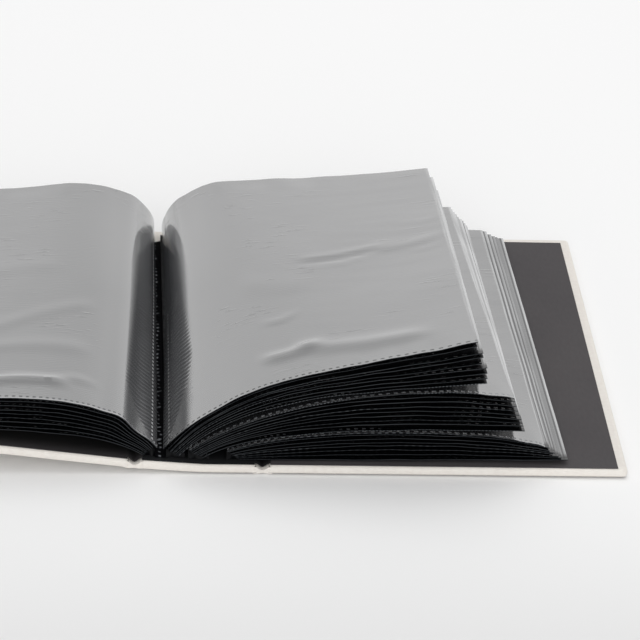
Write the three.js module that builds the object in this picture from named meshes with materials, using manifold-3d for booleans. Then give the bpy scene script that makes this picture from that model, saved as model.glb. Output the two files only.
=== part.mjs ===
// Book-bound slip-in photo album for 10 x 15 cm prints, lying open with most of its leaves on the
// right. Millimetres, +Z up, +X to the right, +Y to the head of the album. The hinge line of the
// back joint is at x = 0 while the pieces are shaped, and the album rests on z = 0.
import * as THREE from 'three';
import { mergeVertices } from 'three/addons/utils/BufferGeometryUtils.js';
import Module from 'manifold-3d';

const wasm = await Module();
wasm.setup();

// Covers
const COVER_W = 125; // from the joint's line to the fore-edge
const COVER_H = 165;
const BOARD = 2.2;
const CLOTH = 0.4;
const GAP = 0.1; // glue line between layers
const COVER_T = BOARD + 2 * (CLOTH + GAP);
const CORNER_R = 1.6;
const EDGE_R = 0.7;
const TURN_IN = 14; // cloth folded over to the inside of a board
const PAPER = 0.2;
const PAPER_MARGIN = 3.4;
const PAPER_TAIL_MARGIN = 0.9;

// Spine board and joints
const SPINE_W = 43.4; // between the two joint lines
const SPINE_FLAT = 20; // the part of the spine that lies on the table
const SPINE_RISE = 1.5; // how far its far end bows up
const GROOVE_LOW = 0.9; // half of the joint's groove, outside and inside
const GROOVE_TOP = 2.4;
const JOINT_Z = 0.6; // height of the bending line in the cover
const FRONT_TILT = THREE.MathUtils.degToRad(6.4);

// Leaves
const LEAF_T = 0.3;
const LEAF_MARGIN = 3; // leaf to cover at head and tail
const ROOT_H = 3.6; // height of a sewn bundle of roots
const ROOT_EDGE = 0.4; // first and last leaf to the top and bottom of their bundle
const SEAT = 0.3; // clearance of a bundle over the spine's lining
const SPLIT_GAP = 0.004; // clearance of blade and root, as a share of the curve
const STEPS = { blade: 9, root: 6, long: 3 }; // facets across a blade, across a root and along Y
const GUTTER_T = 2;

const RAD = THREE.MathUtils.degToRad(1);
const CLOTH_LOOK = { color: 0xece8e2, roughness: 0.85, metalness: 0 };
const BOARD_LOOK = { color: 0x8d8a84, roughness: 0.95, metalness: 0 };
const PAPER_LOOK = { color: 0x4b484a, roughness: 0.8, metalness: 0 };
const LEAF_LOOK = { color: 0xa5a5a5, roughness: 0.3, metalness: 0 };
const CORE_LOOK = { color: 0x15171a, roughness: 0.6, metalness: 0 };

// A leaf's line across the book is one cubic curve. rise is the angle of the handle at its root and
// reach that handle's length, and tip and lean are the same at its fore-edge. The lengths are shares
// of the leaf's run. inset is the fore-edge's distance from the cover's fore-edge line, and lift its
// height over the inside of the cover.
const line = (rise, reach, tip, lean, inset, lift) => ({ rise, reach, tip, lean, inset, lift });

// A section's leaves lie evenly between its top and its lowest leaf, which are given at the tail
// (front) and at the head (back) of the album. roots are the distances of its first and last root
// from the back joint, and split is the share of the curve that bends when the spine turns.
const SECTIONS = [
  {
    name: 'left', side: -1, leaves: 9, roots: [SPINE_W - 6.6, SPINE_W - 3], split: 0.3,
    tail: { top: line(54.8, 0.312, 4.2, 0.51, 24, 12), low: line(32, 0.237, 6.5, 0.52, 22.5, 2) },
    head: { top: line(86, 0.332, 11.5, 0.51, 24.5, 7), low: line(55, 0.114, 7, 0.52, 22.5, 1.2) },
  },
  {
    name: 'right_1', side: 1, leaves: 9, roots: [SPINE_W - 11, SPINE_W - 14.8], split: 0.34,
    tail: { top: line(53, 0.386, 16, 0.49, 55, 48.2), low: line(49.5, 0.325, 6.5, 0.43, 49.7, 32.2) },
    head: { top: line(86, 0.279, 9, 0.73, 57, 31.3), low: line(88, 0.107, 3.5, 0.7, 50.5, 16.4) },
  },
  {
    name: 'right_2', side: 1, leaves: 9, roots: [SPINE_W - 18.4, SPINE_W - 22.9], split: 0.28,
    tail: { top: line(38, 0.321, -10.5, 0.27, 41, 26.3), low: line(35, 0.2, 0, 0.46, 36.4, 13.5) },
    head: { top: line(75, 0.058, 3.5, 0.68, 47, 14.8), low: line(60, 0.085, 1, 0.57, 40, 6.8) },
  },
  {
    name: 'right_3', side: 1, leaves: 8, roots: [SPINE_W - 31.4, SPINE_W - 35.4], split: 0.15,
    tail: { top: line(25, 0.231, -20, 0.2, 29, 7.1), low: line(0, 0.18, 0.5, 0.45, 21.7, 2.1) },
    head: { top: line(4, 0.097, 0, 0.58, 34, 4.9), low: line(0, 0.188, 0.5, 0.47, 26.8, 1.4) },
  },
];

const TAIL_Y = LEAF_MARGIN;
const HEAD_Y = COVER_H - LEAF_MARGIN;
const FRONT_JOINT = new THREE.Vector3(-SPINE_W, 0, JOINT_Z + SPINE_RISE);

const album = new THREE.Group();
album.position.set(-(COVER_W + GROOVE_LOW) / 2, -COVER_H / 2, 0);

function addMesh(name, geometry, look, place) {
  const mesh = new THREE.Mesh(geometry, new THREE.MeshStandardMaterial(look));
  mesh.name = name;
  if (place) {
    mesh.position.copy(place.at);
    mesh.rotation.y = place.tilt;
  }
  album.add(mesh);
}

function solidOf(geometry) {
  const bare = geometry.clone();
  bare.deleteAttribute('normal');
  bare.deleteAttribute('uv');
  const merged = mergeVertices(bare, 1e-5);
  return new wasm.Manifold(new wasm.Mesh({
    numProp: 3,
    vertProperties: new Float32Array(merged.attributes.position.array),
    triVerts: new Uint32Array(merged.index.array),
  }));
}

function geometryOf(solid) {
  const mesh = solid.getMesh();
  const geometry = new THREE.BufferGeometry();
  geometry.setAttribute('position', new THREE.BufferAttribute(mesh.vertProperties, 3));
  geometry.setIndex(new THREE.BufferAttribute(mesh.triVerts, 1));
  geometry.computeVertexNormals();
  return geometry;
}

// A bar along Y with the section outlined by [x, z] points.
function bar(points, from, to) {
  const shape = new THREE.Shape(points.map(([x, z]) => new THREE.Vector2(x, z)));
  const geometry = new THREE.ExtrudeGeometry(shape, { depth: to - from, bevelEnabled: false });
  return geometry.rotateX(Math.PI / 2).translate(0, to, 0);
}

// A flat slab with rounded corners and rounded edges.
function slab(x0, x1, y0, y1, z0, z1, radius) {
  const r = CORNER_R - radius;
  const [l, b, w, h] = [x0 + radius, y0 + radius, x1 - x0 - 2 * radius, y1 - y0 - 2 * radius];
  const shape = new THREE.Shape();
  shape.moveTo(l + r, b);
  shape.lineTo(l + w - r, b).absarc(l + w - r, b + r, r, -Math.PI / 2, 0);
  shape.lineTo(l + w, b + h - r).absarc(l + w - r, b + h - r, r, 0, Math.PI / 2);
  shape.lineTo(l + r, b + h).absarc(l + r, b + h - r, r, Math.PI / 2, Math.PI);
  shape.lineTo(l, b + r).absarc(l + r, b + r, r, Math.PI, 1.5 * Math.PI);
  const geometry = new THREE.ExtrudeGeometry(shape, {
    depth: z1 - z0 - 2 * radius,
    curveSegments: 3,
    bevelEnabled: radius > 0,
    bevelSize: radius,
    bevelThickness: radius,
    bevelSegments: 2,
  });
  return geometry.translate(0, 0, z0 + radius);
}

function boxOf(x0, x1, y0, y1, z0, z1) {
  const box = new THREE.BoxGeometry(Math.abs(x1 - x0), y1 - y0, z1 - z0);
  return box.translate((x0 + x1) / 2, (y0 + y1) / 2, (z0 + z1) / 2);
}

// One cover in the frame of its joint's line, reaching to +x or -x.
function addCover(name, side, place) {
  const low = -JOINT_Z;
  const top = COVER_T - JOINT_Z;
  const layer = CLOTH + GAP;
  const bevel = (GROOVE_TOP - GROOVE_LOW) / COVER_T;
  const spanX = (near, far) => (side > 0 ? [near, far] : [-far, -near]);

  // the wedge that the joint's groove takes off the inner end
  const groove = solidOf(bar([
    [side * -5, low - 1],
    [side * (GROOVE_LOW - bevel), low - 1],
    [side * (GROOVE_TOP + bevel), top + 1],
    [side * -5, top + 1],
  ], -1, COVER_H + 1));
  const [cx0, cx1] = spanX(GROOVE_LOW - CORNER_R, COVER_W);
  const blank = solidOf(slab(cx0, cx1, 0, COVER_H, low, top, EDGE_R));
  const [bx0, bx1] = spanX(-1, COVER_W - CLOTH);
  const hollow = solidOf(boxOf(bx0, bx1, CLOTH, COVER_H - CLOTH, low + CLOTH, top - CLOTH));
  const [wx0, wx1] = spanX(-1, COVER_W - TURN_IN);
  const window = solidOf(boxOf(wx0, wx1, TURN_IN, COVER_H - TURN_IN, top - 2 * CLOTH, top + 1));
  addMesh(`${name}_cloth`, geometryOf(blank.subtract(groove).subtract(hollow).subtract(window)),
    CLOTH_LOOK, place);

  const [ix0, ix1] = spanX(GROOVE_LOW - CORNER_R, COVER_W - layer);
  const board = solidOf(slab(ix0, ix1, layer, COVER_H - layer, low + layer, top - layer, 0));
  addMesh(`${name}_board`, geometryOf(board.subtract(groove)), BOARD_LOOK, place);

  const [px0, px1] = spanX(GROOVE_TOP + 2 * GAP, COVER_W - PAPER_MARGIN);
  addMesh(`${name}_endpaper`, boxOf(px0, px1, PAPER_TAIL_MARGIN, COVER_H - PAPER_MARGIN,
    top + GAP, top + GAP + PAPER), PAPER_LOOK, place);
}

// Height that the bow of the spine adds at x.
function bow(x) {
  return SPINE_RISE * Math.max(0, -x - SPINE_FLAT) / (SPINE_W - SPINE_FLAT);
}

// A layer of the spine between two heights, from one end to the other, with bevelled ends.
function spineLayer(low, high, endLow, endHigh, from, to) {
  const [farLow, farHigh] = [endLow - SPINE_W, endHigh - SPINE_W];
  return bar([
    [-endLow, low],
    [-SPINE_FLAT, low],
    [farLow, low + bow(farLow)],
    [farHigh, high + bow(farHigh)],
    [-SPINE_FLAT, high],
    [-endHigh, high],
  ], from, to);
}

function grooveAt(z) {
  return GROOVE_LOW + (GROOVE_TOP - GROOVE_LOW) * z / COVER_T;
}

function addSpine() {
  const layer = CLOTH + GAP;
  const full = (z0, z1, y0, y1) => solidOf(spineLayer(z0, z1, grooveAt(z0), grooveAt(z1), y0, y1));
  const wide = (z0, z1, y0, y1) => solidOf(spineLayer(z0, z1, -1, -1, y0, y1));
  addMesh('spine_cloth', geometryOf(full(0, COVER_T, 0, COVER_H)
    .subtract(wide(CLOTH, COVER_T - CLOTH, CLOTH, COVER_H - CLOTH))
    .subtract(wide(COVER_T - 2 * CLOTH, COVER_T + 1, TURN_IN, COVER_H - TURN_IN))), CLOTH_LOOK);
  addMesh('spine_board',
    geometryOf(full(layer, COVER_T - layer, layer, COVER_H - layer)), BOARD_LOOK);
  const inner = COVER_T + GAP;
  addMesh('spine_lining', spineLayer(inner, inner + PAPER, GROOVE_TOP + 2 * GAP,
    GROOVE_TOP + 2 * GAP, PAPER_TAIL_MARGIN, COVER_H - PAPER_MARGIN), PAPER_LOOK);
}

// The cloth that bridges a joint: flat outside, creased up a little between the boards.
function addJointCloth(name, place) {
  const reach = GROOVE_LOW - 2 * GAP;
  const low = -JOINT_Z;
  addMesh(name, bar([
    [-reach, low], [reach, low], [reach, low + CLOTH], [0, low + 2 * CLOTH], [-reach, low + CLOTH],
  ], 0, COVER_H), CLOTH_LOOK, place);
}

// Height at which a bundle of roots lies over the spine's lining.
function seatAt(x) {
  return COVER_T + GAP + PAPER + SEAT + bow(x);
}

function mix(a, b, share) {
  return a + (b - a) * share;
}

// The curve of one leaf at one end of the album, as a function of its share from root to fore-edge.
function leafLine(section, end, share) {
  const { top, low } = section[end];
  const value = (key) => mix(top[key], low[key], share);
  const { side } = section;
  const rootX = -mix(section.roots[0], section.roots[1], share);
  const rootZ = seatAt(-section.roots[section.side > 0 ? 0 : 1])
    + mix(ROOT_H - ROOT_EDGE, ROOT_EDGE, share);
  const span = COVER_W - value('inset');
  const foreX = side > 0 ? span : -SPINE_W - span;
  const inside = side > 0 ? COVER_T : COVER_T + SPINE_RISE + span * Math.tan(FRONT_TILT);
  const foreZ = inside + value('lift');
  const run = Math.abs(foreX - rootX);
  const [rise, tip] = [value('rise') * RAD, value('tip') * RAD];
  const [reach, lean] = [value('reach') * run, value('lean') * run];
  return new THREE.CubicBezierCurve(
    new THREE.Vector2(rootX, rootZ),
    new THREE.Vector2(rootX + side * reach * Math.cos(rise), rootZ + reach * Math.sin(rise)),
    new THREE.Vector2(foreX - side * lean * Math.cos(tip), foreZ - lean * Math.sin(tip)),
    new THREE.Vector2(foreX, foreZ),
  );
}

// A leaf as a thin solid between two shares of its curve.
function leafSheet(section, index, from, to, steps) {
  const share = index / (section.leaves - 1);
  const ends = [leafLine(section, 'tail', share), leafLine(section, 'head', share)];
  const faces = [[], []];
  for (let i = 0; i <= steps; i++) {
    const at = mix(from, to, i / steps);
    const points = ends.map((curve) => curve.getPoint(at));
    const tangents = ends.map((curve) => curve.getTangent(at));
    for (let j = 0; j <= STEPS.long; j++) {
      const v = j / STEPS.long;
      const p = points[0].clone().lerp(points[1], v);
      const t = tangents[0].clone().lerp(tangents[1], v).normalize();
      faces.forEach((face, k) => {
        const off = (k ? -LEAF_T : LEAF_T) / 2 * section.side;
        face.push([p.x - t.y * off, mix(TAIL_Y, HEAD_Y, v), p.y + t.x * off]);
      });
    }
  }
  const row = STEPS.long + 1;
  const upper = (i, j) => i * row + j;
  const lower = (i, j) => (steps + 1) * row + upper(i, j);
  const index3 = [];
  const quad = (a, b, c, d) => index3.push(a, b, c, a, c, d);
  for (let i = 0; i < steps; i++) {
    for (let j = 0; j < STEPS.long; j++) {
      quad(upper(i, j), upper(i + 1, j), upper(i + 1, j + 1), upper(i, j + 1));
      quad(lower(i, j), lower(i, j + 1), lower(i + 1, j + 1), lower(i + 1, j));
    }
    quad(upper(i, 0), lower(i, 0), lower(i + 1, 0), upper(i + 1, 0));
    quad(upper(i, STEPS.long), upper(i + 1, STEPS.long), lower(i + 1, STEPS.long),
      lower(i, STEPS.long));
  }
  for (let j = 0; j < STEPS.long; j++) {
    quad(upper(0, j), upper(0, j + 1), lower(0, j + 1), lower(0, j));
    quad(upper(steps, j), lower(steps, j), lower(steps, j + 1), upper(steps, j + 1));
  }
  if (section.side < 0) index3.reverse();
  const geometry = new THREE.BufferGeometry();
  geometry.setAttribute('position',
    new THREE.Float32BufferAttribute([...faces[0], ...faces[1]].flat(), 3));
  geometry.setIndex(index3);
  geometry.computeVertexNormals();
  return geometry;
}

// The roots of a section: a sewn bundle on the spine, from which each leaf runs up to its blade.
function addRoots(section) {
  const [first, last] = section.roots.map((x) => -x);
  const [x0, x1] = [Math.min(first, last) - LEAF_T, Math.max(first, last) + LEAF_T];
  const seat = seatAt(x0 + LEAF_T);
  let solid = solidOf(boxOf(x0, x1, TAIL_Y, HEAD_Y, seat, seat + ROOT_H));
  for (let i = 0; i < section.leaves; i++) {
    solid = solid.add(solidOf(leafSheet(section, i, 0, section.split - SPLIT_GAP, STEPS.root)));
  }
  addMesh(`${section.name}_roots`, geometryOf(solid), LEAF_LOOK);
}

addCover('back_cover', 1, { at: new THREE.Vector3(0, 0, JOINT_Z), tilt: 0 });
addCover('front_cover', -1, { at: FRONT_JOINT, tilt: FRONT_TILT });
addSpine();
addJointCloth('back_joint_cloth', { at: new THREE.Vector3(0, 0, JOINT_Z), tilt: 0 });
addJointCloth('front_joint_cloth', { at: FRONT_JOINT, tilt: FRONT_TILT / 2 });

for (const section of SECTIONS) {
  addRoots(section);
  for (let i = 0; i < section.leaves; i++) {
    addMesh(`${section.name}_leaf_${i + 1}`,
      leafSheet(section, i, section.split, 1, STEPS.blade), LEAF_LOOK);
  }
}

// The black strip at the bottom of the gutter, between the two facing pages.
const [gutterX0, gutterX1] = [
  -SECTIONS[0].roots[0] + LEAF_T + SEAT,
  -SECTIONS[1].roots[0] - LEAF_T - SEAT,
];
const gutterZ = seatAt(gutterX0);
addMesh('gutter_strip',
  boxOf(gutterX0, gutterX1, TAIL_Y, HEAD_Y, gutterZ, gutterZ + GUTTER_T), CORE_LOOK);

export default album;
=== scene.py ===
"""Looks of an open slip-in photo album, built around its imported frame."""
import math

import bmesh
import bpy
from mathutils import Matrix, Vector, noise


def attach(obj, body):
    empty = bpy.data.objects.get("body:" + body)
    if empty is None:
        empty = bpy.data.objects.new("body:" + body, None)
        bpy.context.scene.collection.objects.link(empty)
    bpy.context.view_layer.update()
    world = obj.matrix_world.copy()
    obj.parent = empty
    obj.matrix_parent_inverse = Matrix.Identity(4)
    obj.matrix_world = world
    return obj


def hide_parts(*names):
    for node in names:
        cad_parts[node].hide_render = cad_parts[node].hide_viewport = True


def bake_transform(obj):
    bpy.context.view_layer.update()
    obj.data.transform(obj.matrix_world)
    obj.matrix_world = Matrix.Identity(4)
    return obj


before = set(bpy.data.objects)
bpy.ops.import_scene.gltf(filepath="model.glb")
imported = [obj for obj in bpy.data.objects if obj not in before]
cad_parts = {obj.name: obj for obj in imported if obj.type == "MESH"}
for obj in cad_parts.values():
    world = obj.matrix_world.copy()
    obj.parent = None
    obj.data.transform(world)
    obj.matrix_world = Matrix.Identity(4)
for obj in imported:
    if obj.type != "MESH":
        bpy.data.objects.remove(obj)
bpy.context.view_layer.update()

bl_info = {
    "name": "Slip-in photo album",
    "version": (1, 0, 0),
    "blender": (4, 5, 0),
    "location": "View3D > Sidebar > Album",
    "description": "Builds the covers, leaves, roots and stage of an open photo album",
    "category": "Object",
}

SEED = 7  # without it the noise vectors differ from run to run
MM = 0.001
FULL_TURN = 2 * math.pi

# The shaping frame, in mm, starts at the back joint, the tail edge and the table. The
# scene's origin is at this x and y of it.
ORIGIN = (62.95, 82.5)
COVER_W = 125.0
COVER_H = 165.0
COVER_T = 3.2
CORNER_R = 1.6
SPINE_W = 43.4
SPINE_FLAT = 20.0
SPINE_RISE = 1.5
FRONT_TILT = math.radians(6.4)
JOINT_Z = 0.6
ROOT_H = 3.6
ROOT_EDGE = 0.4
SEAT_OVER_COVER = 0.6
LEAF_MARGIN = 3.0
LINING_END = 155.0  # the spine's lining stops short of the head
LEAF_T = 0.3
FOLD_W = 6.6  # a joint's cloth, with what reaches into the covers and spine
FOLD_LINING_W = 5.6
LINING_MARGIN = 2.6

# Spacing of what repeats. The threads are a little coarser than real ones.
THREAD_PITCH = 0.7
RIPPLE_PITCH = 1.1
WELD_PITCH = 2.4
STRIP_PITCH = 2.6
STITCH_PITCH = 2.2

# The photograph's camera, fitted to the outline of the back cover; its turn is in degrees.
CAMERA_AT = (-0.12370, -0.97714, 0.57631)
CAMERA_TURN = (60.0954, -2.8704, -3.2878)
CAMERA_LENS = 176.739


def line(rise, reach, tip, lean, inset, lift):
    """Handles of a leaf's curve: angles in degrees, shares of its run, then mm."""
    return dict(rise=rise, reach=reach, tip=tip, lean=lean, inset=inset, lift=lift)


# The sections of leaves, in mm. For each:
# roots: how far left of the back joint the first and the last root stand
# bend, low_bend: (x, z) where the top and the lowest leaf start and end their bend
# shoulder: reach from the root, then height at tail and head, of an S-shaped swing
# rounded: reach from the root and depth of the rounder roll at the head
# pull: how far the top page's root leans in at tail and head
# hinge: the bare strip at the root: width, growth per mm, greatest width, length of its start
# tail, head: the curves of the top and the lowest leaf at that end of the album
SECTIONS = (
    dict(name="left", side=-1, leaves=9, body="left_leaves", roots=(SPINE_W - 6.6, SPINE_W - 3),
         bend=((-37, 8.5), (-46, 18)), low_bend=((-38.5, 9), (-44, 6)),
         shoulder=(32, 1.1, 0.3), rounded=(56, 1.8), pull=(0.9, 1.8),
         hinge=(20.0, -0.05, 19.0, 26.0),
         tail=(line(54.8, 0.312, 4.2, 0.51, 24, 12), line(32, 0.237, 6.5, 0.52, 22.5, 2)),
         head=(line(86, 0.332, 11.5, 0.51, 24.5, 7), line(55, 0.114, 7, 0.52, 22.5, 1.2))),
    dict(name="right_1", side=1, leaves=9, body="right_section_1",
         roots=(SPINE_W - 11, SPINE_W - 14.8), bend=((-31, 8), (-10, 26)),
         shoulder=(38, -0.3, 0.4), rounded=(56, 2.4), pull=(-1.3, 1.0),
         hinge=(17.5, -0.01, 17.5, 44.0),
         tail=(line(53, 0.386, 16, 0.49, 55, 48.2), line(49.5, 0.325, 6.5, 0.43, 49.7, 32.2)),
         head=(line(86, 0.279, 9, 0.73, 57, 31.3), line(88, 0.107, 3.5, 0.7, 50.5, 16.4))),
    dict(name="right_2", side=1, leaves=9, body="right_section_2",
         roots=(SPINE_W - 18.4, SPINE_W - 22.9), bend=((-23, 7), (-4, 19)),
         hinge=(10, 0.0, 10, 20.0),
         tail=(line(38, 0.321, -10.5, 0.27, 41, 26.3), line(35, 0.2, 0, 0.46, 36.4, 13.5)),
         head=(line(75, 0.058, 3.5, 0.68, 47, 14.8), line(60, 0.085, 1, 0.57, 40, 6.8))),
    dict(name="right_3", side=1, leaves=8, body="right_section_3",
         roots=(SPINE_W - 31.4, SPINE_W - 35.4), bend=((-9, 6), (5, 9)),
         low_bend=((-14, 3), (-4, 7)), hinge=(10, 0.0, 10, 20.0),
         tail=(line(25, 0.231, -20, 0.2, 29, 7.1), line(0, 0.18, 0.5, 0.45, 21.7, 2.1)),
         head=(line(4, 0.097, 0, 0.58, 34, 4.9), line(0, 0.188, 0.5, 0.47, 26.8, 1.4))),
)


# ---- shared helpers

def linear(code):
    """An sRGB hex colour as the linear values that the shader takes."""
    parts = [int(code[i:i + 2], 16) / 255 for i in (0, 2, 4)]
    return [c / 12.92 if c <= 0.04045 else ((c + 0.055) / 1.055) ** 2.4 for c in parts] + [1.0]


def node_adder(tree):
    """The function that adds a node to this tree, with its settings and inputs."""
    def put(kind, inputs=None, **settings):
        """Adds a node; a node as an input stands for its first output in use."""
        made = tree.nodes.new("ShaderNode" + kind)
        for key, value in settings.items():
            setattr(made, key, value)
        for socket, value in (inputs or {}).items():
            if isinstance(value, bpy.types.Node):
                value = next(out for out in value.outputs if out.enabled)
            if isinstance(value, bpy.types.NodeSocket):
                tree.links.new(value, made.inputs[socket])
            else:
                made.inputs[socket].default_value = value
        return made
    tree.nodes.clear()
    return put


def new_material(name):
    """An empty node material and the function that adds its nodes."""
    made = bpy.data.materials.new(name)
    made.use_nodes = True
    return made, node_adder(made.node_tree)


def place(x, y, z):
    """A point of the shaping frame, in mm, as the scene's metres."""
    return Vector(((x - ORIGIN[0]) * MM, (y - ORIGIN[1]) * MM, z * MM))


def mix(a, b, share):
    return a + (b - a) * share


def smooth(x, low, high):
    t = min(max((x - low) / (high - low), 0.0), 1.0)
    return t * t * (3 - 2 * t)


def bow(x):
    """How far the spine rises towards the front joint."""
    return SPINE_RISE * max(0.0, -x - SPINE_FLAT) / (SPINE_W - SPINE_FLAT)


def seat(x):
    """Height at which the roots lie over the spine's lining."""
    return COVER_T + SEAT_OVER_COVER + bow(x)


def extent(edge, axis):
    """How far an edge runs along an axis."""
    return abs(edge.verts[0].co[axis] - edge.verts[1].co[axis])


def slab(across, along):
    """A unit slab, cut across X and along Y, that a map then bends into a sheet or strip."""
    bm = bmesh.new()
    bmesh.ops.create_cube(bm, size=1.0)
    for axis, cuts in ((0, across - 1), (1, along - 1)):
        edges = [e for e in bm.edges if extent(e, axis) > 0.9]
        bmesh.ops.subdivide_edges(bm, edges=edges, cuts=cuts, use_grid_fill=True)
    return bm


def finish_mesh(bm, name, materials, smooth_angle=40):
    """Turns a bmesh into an object at the origin, shaded smooth but for its sharp edges."""
    bmesh.ops.recalc_face_normals(bm, faces=bm.faces)
    for face in bm.faces:
        face.smooth = True
    for edge in bm.edges:
        edge.smooth = edge.calc_face_angle(0.0) < math.radians(smooth_angle)
    mesh = bpy.data.meshes.new(name)
    bm.to_mesh(mesh)
    bm.free()
    obj = bpy.data.objects.new(name, mesh)
    bpy.context.scene.collection.objects.link(obj)
    for made in materials:
        mesh.materials.append(made)
    return obj


def attribute(mesh, name, values):
    """Stores a value for each vertex, for the materials to read."""
    made = mesh.attributes.new(name, "FLOAT", "POINT")
    made.data.foreach_set("value", values)


# ---- materials

SOFT = {"interpolation_type": "SMOOTHSTEP"}
# grey of the painted contact shadow along the cloth's lowest edges
CLOTH_CONTACT_SHADE = "8F8A85"
RIB_CREST = "626366"
STACK_GAP = "050607"
DEEP_BLACK = "050507"


def book_cloth(colours):
    """Cream linen book cloth: plain weave, filled with size, so it is matt and nearly even."""
    made, put = new_material("woven_book_cloth")
    at = put("TexCoord").outputs["Object"]
    split = put("SeparateXYZ", {0: at})
    waves = []
    for axis in ("X", "Y"):
        wobble = put("TexNoise", {"Vector": at, "Scale": 900.0, "Detail": 2.0})
        phase = put("Math", {
            0: split.outputs[axis], 1: FULL_TURN / (THREAD_PITCH * MM)}, operation="MULTIPLY")
        phase = put("Math", {0: wobble, 1: 4.0, 2: phase}, operation="MULTIPLY_ADD")
        waves.append(put("Math", {0: phase}, operation="SINE"))
    weave = put("Math", {0: waves[0], 1: waves[1]}, operation="MULTIPLY")
    cloud = put("TexNoise", {"Vector": at, "Scale": 45.0, "Detail": 5.0})
    slub = put("TexNoise", {"Vector": at, "Scale": 700.0, "Detail": 3.0})
    tone = put("Math", {0: cloud, 1: 0.5, 2: slub}, operation="MULTIPLY_ADD")
    ramp = put("MapRange", {"Value": tone, "From Min": 0.45, "From Max": 1.05})
    colour = put("Mix", {
        0: ramp, 6: linear(colours.cloth_dark), 7: linear(colours.cloth)}, data_type="RGBA")
    # painted contact shadow: grey along the lowest edges, where they stand on the table
    rim = put("Attribute", attribute_name="from_rim").outputs["Fac"]
    rim = put("MapRange", {"Value": rim, "From Min": 1.8, "From Max": 0.7, "To Max": 0.75})
    contact_shade = put("MapRange", {"Value": split.outputs["Z"], "From Min": 0.0009, "From Max": 0.0003})
    contact_shade = put("Math", {0: contact_shade, 1: rim}, operation="MULTIPLY")
    colour = put("Mix", {0: contact_shade, 6: colour, 7: linear(CLOTH_CONTACT_SHADE)}, data_type="RGBA")
    height = put("Math", {0: weave, 1: 0.35, 2: slub}, operation="MULTIPLY_ADD")
    bump = put("Bump", {"Height": height, "Strength": 0.5, "Distance": 0.00012})
    shader = put("BsdfPrincipled", {
        "Base Color": colour, "Roughness": 0.82, "Normal": bump, "Sheen Weight": 0.15,
        "Sheen Roughness": 0.5, "IOR": 1.46})
    put("OutputMaterial", {0: shader})
    return made


def paper(name, light, dark, grain=1500.0, roughness=0.78, leaf_shade_span=None):
    """Uncoated paper or board: felted fibres, matt, cloudy where the pulp is denser.

    Under the leaves the paper gets a painted shade; the argument gives, in metres from the middle,
    where its lighter margin at head and tail ends and where the full shade starts.
    """
    made, put = new_material(name)
    at = put("TexCoord").outputs["Object"]
    fibre = put("Mapping", {0: at, 3: (1.0, 0.35, 1.0)})
    fine = put("TexNoise", {"Vector": fibre, "Scale": grain, "Detail": 4.0, "Roughness": 0.65})
    cloud = put("TexNoise", {"Vector": at, "Scale": 28.0, "Detail": 4.0})
    both = put("Math", {0: fine, 1: 0.6, 2: cloud}, operation="MULTIPLY_ADD")
    ramp = put("MapRange", {"Value": both, "From Min": 0.5, "From Max": 1.1})
    colour = put("Mix", {0: ramp, 6: linear(dark), 7: linear(light)}, data_type="RGBA")
    # painted shade of the leaves: the paper darkens towards the middle
    if leaf_shade_span:
        off = put("SeparateXYZ", {0: at}).outputs["Y"]
        off = put("Math", {0: off}, operation="ABSOLUTE")
        kept = put("MapRange", {
            "Value": off, "From Min": leaf_shade_span[0], "From Max": leaf_shade_span[1], "To Min": 0.5,
            "To Max": 0.12})
        colour = put("Mix", {0: kept, 6: linear("000000"), 7: colour}, data_type="RGBA")
    rough = put(
        "MapRange", {"Value": cloud, "To Min": roughness - 0.08, "To Max": roughness + 0.08})
    bump = put("Bump", {"Height": fine, "Strength": 0.4, "Distance": 0.00006})
    shader = put(
        "BsdfPrincipled", {"Base Color": colour, "Roughness": rough, "Normal": bump, "IOR": 1.45})
    put("OutputMaterial", {0: shader})
    return made


def weld_dots(put, read, at):
    """Dotted welds inside the tail edge and near the root of a pocket; its head is open."""
    rows = []
    for across, along, inset in (("from_tail", "from_fore", 1.2), ("from_root", "from_tail", 3.2)):
        off = put("Math", {0: read[across], 1: inset}, operation="SUBTRACT")
        off = put("Math", {0: off}, operation="ABSOLUTE")
        row = put("MapRange", {"Value": off, "From Min": 0.48, "From Max": 0.3}, **SOFT)
        beat = put("Math", {0: read[along], 1: WELD_PITCH / 2}, operation="PINGPONG")
        dot = put("MapRange", {"Value": beat, "From Min": 0.7, "From Max": 0.45}, **SOFT)
        rows.append(put("Math", {0: row, 1: dot}, operation="MULTIPLY"))
    welds = put("Math", {0: rows[0], 1: rows[1]}, operation="MAXIMUM")
    # inside the stack they show only here and there
    stretch = put("Mapping", {0: at, 3: (0.05, 0.05, 1.0)})
    some = put("CombineXYZ", {2: read["pale"]})
    some = put("VectorMath", {0: some, 1: (1.0, 1.0, 40.0), 2: stretch}, operation="MULTIPLY_ADD")
    some = put("TexNoise", {"Vector": some, "Scale": 1.0, "Detail": 1.0})
    some = put("MapRange", {
        "Value": some, "From Min": 0.48, "From Max": 0.62, "To Min": 0.05, "To Max": 0.8})
    some = put("Math", {0: some, 1: read["rim"]}, operation="MAXIMUM")
    return put("Math", {0: welds, 1: some}, operation="MULTIPLY")


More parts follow.
